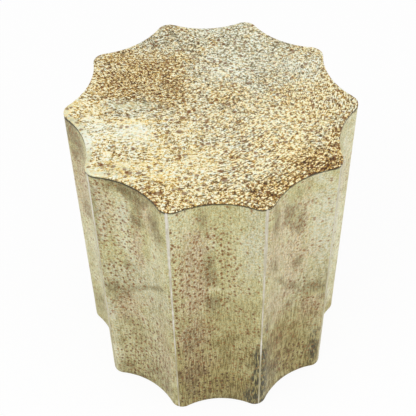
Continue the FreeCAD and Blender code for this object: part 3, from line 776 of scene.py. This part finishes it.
# Clouds on the flutes that are seen from the front, by flute and kind: how far along the section and how
# high in millimetres, half sizes, how strong, and for a slanted one how much it climbs along the section.
# Fine clouds hold more specks, and dots hold rows of peen marks.
CLOUDS = {
    (6, "pale"): [(-40, 250, 34, 130, 0.9)],
    (6, "grey"): [(-22, 250, 7, 230, 0.9)],
    (6, "pink"): [(-40, 400, 30, 110, 1.2)],
    (6, "dark"): [(-45, 480, 30, 40, 1), (-34, 330, 14, 30, 0.8), (-40, 60, 30, 50, 0.5)],
    (6, "fine"): [(-40, 380, 40, 140, 0.8), (-40, 120, 30, 80, 0.4)],
    (7, "pale"): [
        (-26, 440, 15, 70, 0.9), (-14, 370, 16, 60, 0.7), (47, 388, 24, 46, 0.7), (22, 340, 18, 34, 0.4),
        (-63, 90, 12, 100, 0.9), (12, 185, 26, 44, 0.6),
    ],
    (7, "grey"): [
        (-58, 440, 9, 70, 0.8), (-18, 446, 10, 34, 0.7), (-64, 200, 10, 42, 0.8), (0, 285, 90, 80, 0.65),
        (0, 120, 90, 70, 0.35),
    ],
    (7, "pink"): [
        (-48, 455, 14, 55, 0.6), (2, 395, 12, 60, 1), (26, 472, 20, 34, 1), (-22, 225, 30, 36, 0.9, 0.5),
        (48, 140, 26, 100, 0.7, 0.6),
    ],
    (7, "gold"): [(-16, 140, 12, 44, 0.5)],
    # On flute 7 the first two dark clouds, just under the top, are a painted shadow of the top's lip
    (7, "dark"): [
        (-8, 516, 40, 24, 2), (40, 512, 40, 10, 0.7), (-68, 440, 6, 70, 0.7), (6, 474, 10, 15, 1.1),
        (6, 446, 13, 18, 1.2), (46, 470, 14, 32, 1, -0.4), (57, 448, 9, 26, 0.6), (-20, 327, 12, 15, 0.7),
        (34, 310, 40, 7, 1, 0.83), (-54, 256, 26, 22, 1, 0.3), (-20, 268, 22, 10, 0.7, 0.5),
        (38, 40, 34, 34, 0.8), (-44, 26, 26, 18, 0.8), (-12, 8, 50, 9, 1),
    ],
    (7, "fine"): [
        (-48, 440, 15, 90, 1.1), (-30, 320, 34, 70, 0.8), (-26, 225, 36, 40, 0.8), (0, 420, 26, 60, 0.4),
        (50, 150, 26, 110, 0.4), (-12, 120, 30, 90, 0.6),
    ],
    (7, "dots"): [
        (-50, 440, 16, 110, 0.9), (-15, 380, 14, 70, 0.9), (-36, 310, 30, 70, 1.1), (-40, 225, 26, 40, 0.6),
        (-24, 70, 34, 80, 1.7), (-70, 300, 6, 200, 0.6), (69, 280, 5, 60, 0.7), (-14, 150, 24, 70, 0.9),
        (16, 120, 34, 120, 0.8),
    ],
    (8, "pale"): [
        (-56, 480, 20, 50, 0.6), (-8, 428, 7, 12, 1), (-5, 321, 16, 5, 0.8), (38, 420, 30, 110, 0.4),
        (38, 350, 24, 60, 0.5),
    ],
    (8, "grey"): [(56, 450, 20, 90, 0.7), (-44, 180, 6, 24, 0.6), (-46, 60, 7, 50, 0.4)],
    (8, "pink"): [
        (-32, 430, 26, 44, 1.3), (-34, 330, 26, 130, 1.3), (-34, 215, 26, 90, 1.2), (-10, 117, 18, 22, 0.7),
        (-42, 105, 26, 66, 1.1),
    ],
    (8, "gold"): [
        (16, 400, 12, 80, 0.25), (-14, 235, 20, 34, 0.6), (26, 270, 46, 120, 0.3), (34, 220, 30, 44, 0.5),
        (17, 150, 14, 40, 0.7), (26, 40, 50, 38, 0.7),
    ],
    (8, "dark"): [
        (-19, 482, 9, 34, 0.8), (-10, 375, 12, 46, 1), (-8, 285, 12, 34, 1.1), (16, 285, 8, 20, 0.3),
        (-42, 200, 13, 36, 0.7), (17, 150, 10, 34, 0.3), (-50, 60, 26, 46, 0.6), (30, 26, 44, 30, 0.5),
        (0, 6, 80, 8, 0.9),
    ],
    (8, "slate"): [(68, 95, 8, 80, 2.2), (57, 36, 9, 28, 2), (54, 124, 8, 12, 0.8)],
    (8, "fine"): [
        (-30, 400, 40, 60, 0.8), (20, 380, 24, 90, 0.5), (-30, 230, 36, 90, 0.6), (40, 200, 30, 90, 0.3),
    ],
    (8, "dots"): [
        (-62, 330, 10, 180, 1.1), (-44, 300, 12, 160, 0.9), (-30, 340, 12, 160, 1), (-12, 360, 13, 150, 0.9),
        (8, 380, 13, 90, 1.1), (27, 350, 14, 70, 0.8), (46, 320, 16, 70, 0.6), (58, 250, 12, 80, 0.7),
        (-42, 130, 30, 100, 1.6), (-30, 50, 44, 46, 1.6), (25, 66, 40, 22, 1.5), (-14, 190, 20, 90, 1),
        (36, 160, 34, 80, 0.4),
    ],
    (9, "pale"): [
        (46, 420, 26, 110, 0.8), (-15, 350, 46, 130, 0.9), (30, 450, 14, 60, 0.5), (-22, 398, 18, 20, 0.7),
        (-40, 300, 26, 40, 0.5), (54, 134, 18, 32, 0.5),
    ],
    (9, "grey"): [(50, 390, 24, 120, 0.8), (10, 270, 80, 70, 0.55)],
    (9, "pink"): [
        (-40, 400, 40, 100, 1.3, -0.8), (18, 475, 12, 40, 0.6), (-4, 345, 36, 110, 1.3),
        (-24, 255, 38, 44, 1.1), (40, 190, 28, 40, 1.1), (-26, 140, 22, 34, 1), (-50, 300, 20, 70, 0.7),
    ],
    (9, "gold"): [(-16, 205, 26, 26, 0.6), (-22, 140, 32, 60, 1.6), (8, 80, 26, 90, 1.2)],
    (9, "dark"): [
        (-50, 470, 10, 34, 0.9, -1), (4, 490, 7, 14, 0.8), (-12, 455, 14, 30, 1.1, -0.8),
        (6, 424, 14, 28, 0.9, -0.8), (9, 328, 11, 14, 1.1), (-47, 366, 13, 20, 0.9, -1.2),
        (-24, 306, 20, 13, 1, -1.35), (8, 268, 18, 11, 0.9, -1), (0, 232, 14, 13, 0.7),
        (47, 243, 24, 16, 0.9, -0.45), (-30, 140, 12, 26, 0.4), (-58, 130, 12, 90, 0.8),
        (-36, 30, 26, 40, 0.7), (-48, 84, 14, 70, 1), (-27, 50, 11, 50, 1.2), (54, 56, 16, 46, 0.9),
        (30, 240, 16, 12, 0.8, -0.6), (0, 6, 80, 8, 0.7), (66, 240, 5, 24, 0.8),
    ],
    (9, "slate"): [(-69, 90, 9, 92, 2), (-58, 60, 6, 60, 1.2), (58, 60, 9, 60, 1.4)],
    (9, "fine"): [
        (-4, 440, 20, 60, 0.9), (4, 370, 20, 60, 0.8), (30, 200, 40, 60, 0.6), (-20, 150, 40, 60, 0.7),
        (46, 400, 20, 110, 0.1),
    ],
    (9, "dots"): [
        (12, 420, 14, 40, 0.6), (16, 270, 40, 40, 0.5), (40, 210, 30, 40, 0.6), (-20, 140, 30, 50, 0.7),
        (10, 60, 50, 60, 1.2),
    ],
    (10, "pale"): [(50, 420, 26, 100, 1.2), (50, 220, 26, 190, 1.3)],
    (10, "grey"): [(38, 250, 8, 240, 1), (-30, 300, 40, 200, 0.5)],
    (10, "pink"): [(50, 390, 12, 60, 0.5)],
    (10, "gold"): [(52, 14, 12, 16, 1.2)],
}
CLOUD_FADE_SHARES = (1.5, 0.3)

# How many clouds each other flute has, how often each kind comes, and the least and the most of a
# cloud's place, half sizes, climb and strength
LOOSE_CLOUDS = 32
CLOUD_ODDS = {
    "pale": 0.13, "grey": 0.08, "pink": 0.18, "gold": 0.11, "dark": 0.2, "slate": 0.04, "fine": 0.13,
    "dots": 0.13,
}
CLOUD_RANGES = ((-60, 60), (20, 500), (8, 34), (14, 90), (-0.6, 0.6), (0.5, 1.1))

# What differs from flute to flute: the width of the painted shadow under the top's lip in millimetres, how
# much darker the metal is low down, partly patina and partly painted shade towards the floor, and how fine
# its grain is across and up
SEAM_SHADES, OTHER_SEAM_SHADE = {6: 6.5, 7: 4.0, 8: 2.2, 9: 2.2}, 3.4
LOW_SHARES, OTHER_LOW_SHARE = {6: 0.1, 7: 0.35, 8: 1.0, 9: 0.85, 10: 0.0}, 0.5
GRAIN_SHARES, OTHER_GRAIN_SHARE = {8: (1.0, 1.12)}, (0.72, 1.3)

# The side metal's unevenness, by size and swing: the clouds' edges, crowds of peen marks and the low
# shade, then the size of the bumps in the painted shadow under the top's lip
CLOUD_EDGE, CROWD, RAGGED_LOW = (22 * MM, 1.6), (60 * MM, 0.4), (35 * MM, 0.8)
CLOUD_OCTAVES, SEAM_BUMP = 4, 9 * MM

# Heights between which the low shade and its raggedness fade and the ridges are rubbed more, how wide
# the rubbed edge is, and the step that gives each flute a grain of its own
LOW_FADE, RAGGED_FADE, RUBBED_FADE = (0.42, 0.02), (0.45, 0.1), (0.15, 0.5)
RUBBED_WIDTH, GRAIN_STEP = 3.5 * MM, 0.4


def loose_clouds(random):
    """Clouds like those in front, at places of their own, for a flute that the front doesn't show."""
    clouds = {kind: [] for kind in CLOUD_ODDS}
    for kind in random.choice(list(CLOUD_ODDS), LOOSE_CLOUDS, p=list(CLOUD_ODDS.values())):
        *place, climb, strength = [random.uniform(least, most) for least, most in CLOUD_RANGES]
        clouds[kind].append((*place, strength, climb))
    return clouds


def side_fields(along, up, index, random):
    """What the side metal shows at lengths along a flute's section and heights."""
    dot, own = loose_rows(along, up, PEEN_COLUMNS, PEEN_ROWS, PEEN_STRAY_SHARES, random, PEEN_TALL)
    kinds = {kind: np.zeros(along.shape) for kind in CLOUD_ODDS}
    edge = sway(along, up, CLOUD_EDGE, random, CLOUD_OCTAVES)
    clouds = {kind: rows for (flute, kind), rows in CLOUDS.items() if flute == index}
    for kind, rows in (clouds or loose_clouds(random)).items():
        for middle, height, half_width, half_height, strength, *climb in rows:
            across = along / MM - middle
            above = up / MM - height - sum(climb) * across
            reach = np.hypot(across / half_width, above / half_height) + edge
            kinds[kind] = np.maximum(kinds[kind], strength * fade(reach, *CLOUD_FADE_SHARES))
    likely = sway(along, up, CROWD, random) + 0.85 * kinds.pop("dots")
    ragged = sway(along, up, RAGGED_LOW, random)
    # The painted shadow under the top's lip, of a ragged width
    seam_shade = SEAM_SHADES.get(index, OTHER_SEAM_SHADE) * MM
    seam_shadow_edge = seam_shade * (0.6 + rough_noise(along, up, SEAM_BUMP, random))
    # How much darker the metal is low down, partly patina and partly painted shade towards the floor
    low_share = LOW_SHARES.get(index, OTHER_LOW_SHARE)
    from_ridge = along.max() - np.abs(along)
    rubbed = fade(from_ridge, RUBBED_WIDTH, 0) * (0.2 + 0.6 * fade(up, *RUBBED_FADE)) + 0.3 * ragged
    wide, high = GRAIN_SHARES.get(index, OTHER_GRAIN_SHARE)
    return {
        "place": np.stack([along * wide, up * high, np.full(along.shape, index * GRAIN_STEP)], -1),
        "dot": dot,
        "strength": fade(likely + 0.5 * own, 0.25, 0.95),
        "low": np.clip(low_share * fade(up, *LOW_FADE) + ragged * fade(up, *RAGGED_FADE), 0, 1),
        "seam": fade(SIDE_TOP - up, seam_shadow_edge, 0),
        "rubbed": np.clip(rubbed, 0, 1),
        **kinds,
    }


def flute_sheet(index, metal):
    """The hammered sheet over one flute, from ridge seam to ridge seam."""
    random = np.random.default_rng(FLUTE_SEEDS + index)
    plan, out, along = section(SIDE_STEP, SEAM_WIDTH / 2)
    columns = len(along)
    rows, up, faces, left, right = front_grid(SIDE_STEP, columns)
    front = len(up)
    along = np.tile(along, rows)
    fields = side_fields(along, up, index, random)
    dent = fade(fields["dot"], PEEN_REACH, 0) * fields["strength"] * PEEN_DEPTH
    wave = rough_noise(along, up, WAVE, random) * WAVE_DEPTH
    points = np.column_stack([np.tile(plan, (rows, 1)), up])
    points -= np.column_stack([np.tile(out, (rows, 1)), np.zeros(front)]) * (dent + wave)[:, None]

    # The back runs straight up, so it needs only its lowest and its highest row
    back = np.column_stack([plan - SHEET * out, np.full(columns, SIDE_BOTTOM)])
    points = np.concatenate([points, back, back + [0, 0, SIDE_TOP - SIDE_BOTTOM]])
    fields = {
        name: np.concatenate([numbers, np.zeros((2 * columns, *numbers.shape[1:]))])
        for name, numbers in fields.items()
    }
    low, high, top = front, front + columns, front - columns
    for i in range(columns - 1):
        faces.append((low + i + 1, low + i, high + i, high + i + 1))
        faces.append((low + i, low + i + 1, i + 1, i))
        faces.append((top + i, top + i + 1, high + i + 1, high + i))
    faces.append((low, *left, high))
    faces.append((high + columns - 1, *right[::-1], low + columns - 1))

    points = turn(points, (2 * index - 1) * HALF_FLUTE)
    node = f"flute_sheet_{index:02}"
    add_piece(f"hammered_flute_{index:02}", points, faces, metal, node, fields)


# The seams on the ridges: the steps of a bead up and round it, the size and depth of its filed bumps,
# the size and swing of its worn patches, and the heights and sides where it is worn more
BEAD_STEP, BEAD_ARC = 2.5 * MM, 6
FILED_BUMP, FILED_DEPTH = 7 * MM, 0.25 * MM
WORN_PATCH, WORN_FADE, WORN_SIDES_SHARE = (45 * MM, 1.1), (0.5, 0.05), 0.35


def ridge_seam(index, solder):
    """The bead of solder down one ridge, filed nearly flush with uneven sides."""
    random = np.random.default_rng(SEAM_SEEDS + index)
    columns = BEAD_ARC + 1
    rows, up, faces, left, right = front_grid(BEAD_STEP, columns)
    front = len(up)
    spread = math.asin(SEAM_WIDTH / 2 / NOSE_RADIUS)
    lean = np.tile(np.linspace(-spread, spread, columns), rows)
    radius = NOSE_RADIUS - smooth_noise(lean * NOSE_RADIUS, up, FILED_BUMP, random) * FILED_DEPTH
    patchy = sway(lean * NOSE_RADIUS, up, WORN_PATCH, random)
    beside = fade(np.abs(lean), WORN_SIDES_SHARE * spread, spread)
    worn = np.clip(0.5 * fade(up, *WORN_FADE) + patchy + 0.4 * beside, 0, 1)
    outside = np.column_stack([NOSE_CENTRE + radius * np.cos(lean), radius * np.sin(lean), up])
    inner = NOSE_RADIUS - SHEET
    back = NOSE_CENTRE + math.sqrt(inner ** 2 - (SEAM_WIDTH / 2) ** 2)
    behind = [[back, side * SEAM_WIDTH / 2, z] for z in (SIDE_BOTTOM, SIDE_TOP) for side in (-1, 1)]

    # The points behind are left and right at the bottom, then left and right at the top
    faces.append((front, *left, front + 2))
    faces.append((front + 3, *right[::-1], front + 1))
    faces.append((front + 1, front, front + 2, front + 3))
    faces.append((front, front + 1, *range(columns - 1, -1, -1)))
    faces.append((*range(front - columns, front), front + 3, front + 2))
    points = turn(np.concatenate([outside, behind]), (index - 1) * 2 * HALF_FLUTE)
    fields = {"worn": np.concatenate([worn, np.zeros(len(behind))])}
    add_piece(f"filed_seam_{index:02}", points, faces, solder, f"ridge_seam_{index:02}", fields)


top_sheet(hammered_top_metal())
SIDE_METAL, SOLDER = hammered_side_metal(), filed_solder()
for number in range(1, RIDGES + 1):
    flute_sheet(number, SIDE_METAL)
    ridge_seam(number, SOLDER)

# The nodes that keep their own shape
PINE_RING, PLY_RING, BOARD_RING = 7 * MM, 12 * MM, 10 * MM
PINE = grained("batten_pine", UPRIGHT, PINE_RING, ((170, 128, 78), (214, 182, 132)))
PLY = grained("bent_plywood", UPRIGHT, PLY_RING, ((168, 130, 84), (206, 172, 124)))
RAW_BOARD = grained("rib_board", ALONG_X, BOARD_RING, ((164, 130, 88), (202, 172, 128)))
PAINT, STEEL, NYLON = painted_board(), brushed_steel(), moulded_nylon()
FINISHES = {
    "top_board": PAINT, "base_board": PAINT, "mid_rib": RAW_BOARD,
    "ridge_batten": PINE, "flute_panel": PLY, "top_screws": STEEL, "base_screws": STEEL,
    "rib_screws": STEEL, "glide_nails": STEEL, "glide": NYLON,
}
for name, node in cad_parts.items():
    finish = FINISHES.get(name) or FINISHES.get(name.rsplit("_", 1)[0])
    if finish:
        for material_slot in node.material_slots:
            material_slot.material = finish

# World, floor and lamps
WHITE = (1, 1, 1, 1)
WORLD_STRENGTH = 0.75
FLOOR_SIZE = 40.0
FLOOR_COLOUR = (0.9, 0.9, 0.9, 1)
FLOOR_LIFT = 0.93
LAMP_SIZE = 1.4
LAMP_AIM = Vector((0, 0, 0.3))
KEY_PLACE, KEY_WATTS = Vector((-1.2, -1.0, 2.2)), 16
FILL_PLACE, FILL_WATTS = Vector((1.9, -1.2, 1.2)), 10.5


def white_world():
    """A plain white sky, at full strength where it is seen and weaker where it lights."""
    world = bpy.data.worlds.new("white_world")
    nodes = Nodes(world)
    strength = nodes.spread(nodes.seen(), 0.0, 1.0, WORLD_STRENGTH, 1.0, way="LINEAR")
    nodes.feed(nodes.tree.nodes["Background"], {"Color": WHITE, "Strength": strength})
    bpy.context.scene.world = world


def pale_floor():
    """A white floor that takes the table's shadow and is nearly white where it is seen."""
    material = bpy.data.materials.new("pale_floor")
    nodes = Nodes(material)
    nodes.tree.nodes.clear()
    diffuse = nodes.add("ShaderNodeBsdfDiffuse", {"Color": FLOOR_COLOUR}).outputs[0]
    glow = nodes.add("ShaderNodeEmission").outputs[0]
    lift = nodes.product(nodes.seen(), FLOOR_LIFT)
    shader = nodes.add("ShaderNodeMixShader", {0: lift, 1: diffuse, 2: glow}).outputs[0]
    nodes.add("ShaderNodeOutputMaterial", {"Surface": shader})

    bpy.ops.mesh.primitive_plane_add(size=FLOOR_SIZE)
    floor = bpy.context.object
    floor.name = "floor"
    floor.data.materials.append(material)


def soft_lamp(name, place, watts):
    """A square soft lamp that looks at the middle of the table."""
    lamp = bpy.data.lights.new(name, "AREA")
    lamp.shape = "SQUARE"
    lamp.size = LAMP_SIZE
    lamp.energy = watts
    holder = put(name, lamp)
    holder.location = place
    holder.rotation_euler = (LAMP_AIM - place).to_track_quat("-Z", "Y").to_euler()


# The camera, in table radii where the photograph gives no real size
CAMERA_ELEVATION = math.radians(45.22)
CAMERA_AZIMUTH = math.radians(-1.13)
CAMERA_ROLL = math.radians(-1.14)
CAMERA_DISTANCE = 6.667 * TIP_RADIUS
LOOK_ACROSS = -0.0304 * TIP_RADIUS
LOOK_HEIGHT = TABLE_TOP - 0.6591 * TIP_RADIUS
FOCAL_PIXELS, PICTURE_PIXELS = 915.2, 416
CENTRE_LIFT_PIXELS = 33


def photo_camera():
    """The photograph's camera: tilted down, slightly rolled, its axis above the picture's centre."""
    lens = bpy.data.cameras.new("photo_camera")
    lens.lens = lens.sensor_width * FOCAL_PIXELS / PICTURE_PIXELS
    lens.shift_y = -CENTRE_LIFT_PIXELS / PICTURE_PIXELS
    holder = put("photo_camera", lens)
    turned = Euler((math.pi / 2 - CAMERA_ELEVATION, 0, CAMERA_AZIMUTH)).to_matrix()
    right, back = turned.col[0], turned.col[2]
    target = Vector((0, 0, LOOK_HEIGHT)) + right * LOOK_ACROSS
    holder.location = target + back * CAMERA_DISTANCE
    holder.rotation_euler = (turned @ Euler((0, 0, CAMERA_ROLL)).to_matrix()).to_euler()
    bpy.context.scene.camera = holder


white_world()
pale_floor()
soft_lamp("key_lamp", KEY_PLACE, KEY_WATTS)
soft_lamp("fill_lamp", FILL_PLACE, FILL_WATTS)
photo_camera()
bpy.context.scene.view_settings.view_transform = "Standard"
